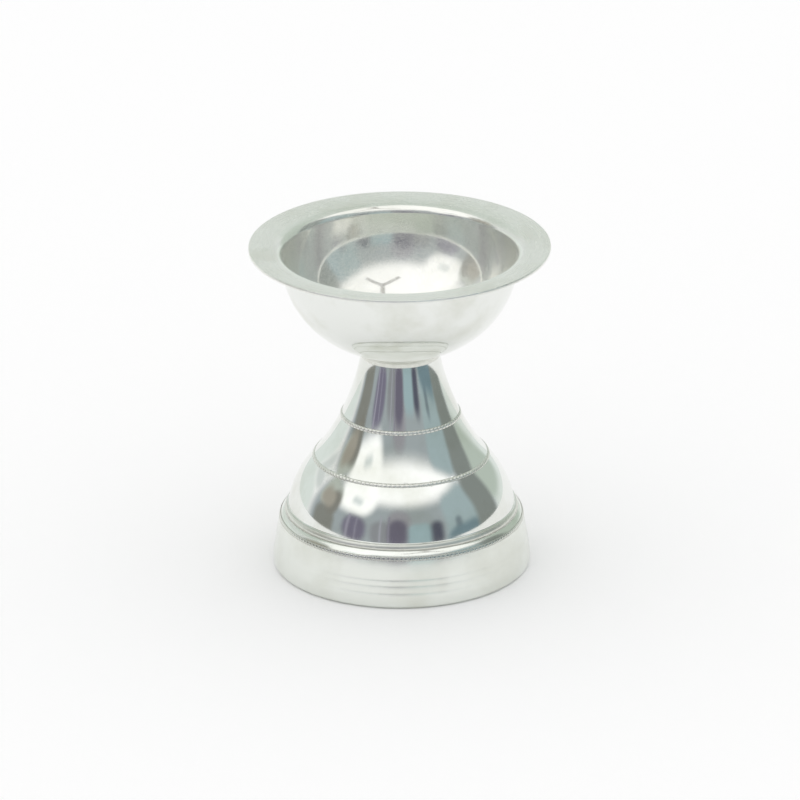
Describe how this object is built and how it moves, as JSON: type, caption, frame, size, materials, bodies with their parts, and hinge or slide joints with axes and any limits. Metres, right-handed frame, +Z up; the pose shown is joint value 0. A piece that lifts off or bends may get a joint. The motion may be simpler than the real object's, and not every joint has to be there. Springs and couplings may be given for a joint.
{
  "type": "diya oil lamp",
  "caption": "Small silver oil lamp: a round bowl with a wide flat brim on a hollow flared stand with beaded lines and a stepped foot.",
  "frame": {"origin": "centre of the standing ring, on the surface that the lamp stands on", "axes": "+Z up along the axis that every part is round about; +X and +Y are free"},
  "size_m": [0.04, 0.04, 0.045],
  "materials": {
    "silver": "spun sterling silver sheet, mirror polished, with a satin brim",
    "beaded_silver": "beaded silver wire, polished on the beads",
    "solder": "silver solder, smooth and slightly dull"
  },
  "bodies": {
    "root": {"foot": "silver", "lower_beaded_wire": "beaded_silver", "bell_solder": "solder", "bell": "silver", "stem_solder": "solder", "middle_beaded_wire": "beaded_silver", "stem": "silver", "upper_beaded_wire": "beaded_silver", "bowl_solder": "solder", "bowl": "silver"}
  },
  "joints": []
}
